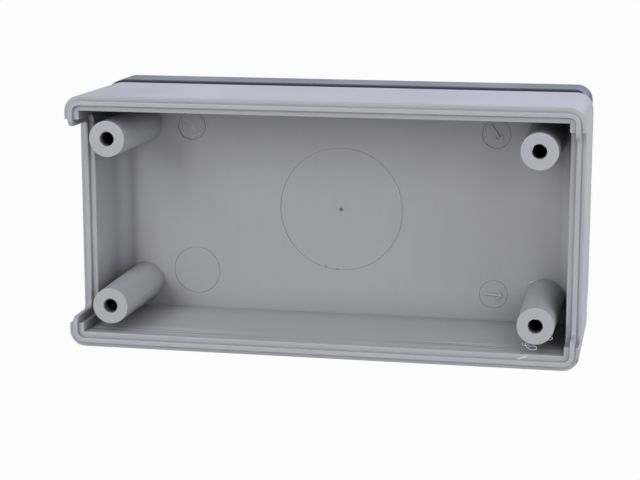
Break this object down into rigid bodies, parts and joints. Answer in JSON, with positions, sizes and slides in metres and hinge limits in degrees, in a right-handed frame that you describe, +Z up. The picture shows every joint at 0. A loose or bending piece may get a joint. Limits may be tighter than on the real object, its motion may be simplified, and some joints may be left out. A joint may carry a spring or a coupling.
{
  "type": "plastic project box",
  "caption": "Open two-part plastic electronics case: a deep pale shell with screw posts and end notches, and its dark cover.",
  "frame": {"origin": "on the ground, under the middle of the two shells' shared bounding box", "axes": "+X along the box's length to the right, +Y away from the base shell's open side towards the cover, +Z up"},
  "size_m": [0.1008, 0.05, 0.0497],
  "materials": {
    "pale_plastic": "pale grey moulded plastic, fine satin texture",
    "dark_plastic": "anthracite moulded plastic, fine satin texture"
  },
  "bodies": {
    "root": {"base_shell": "pale_plastic", "cover_shell": "dark_plastic"}
  },
  "joints": []
}
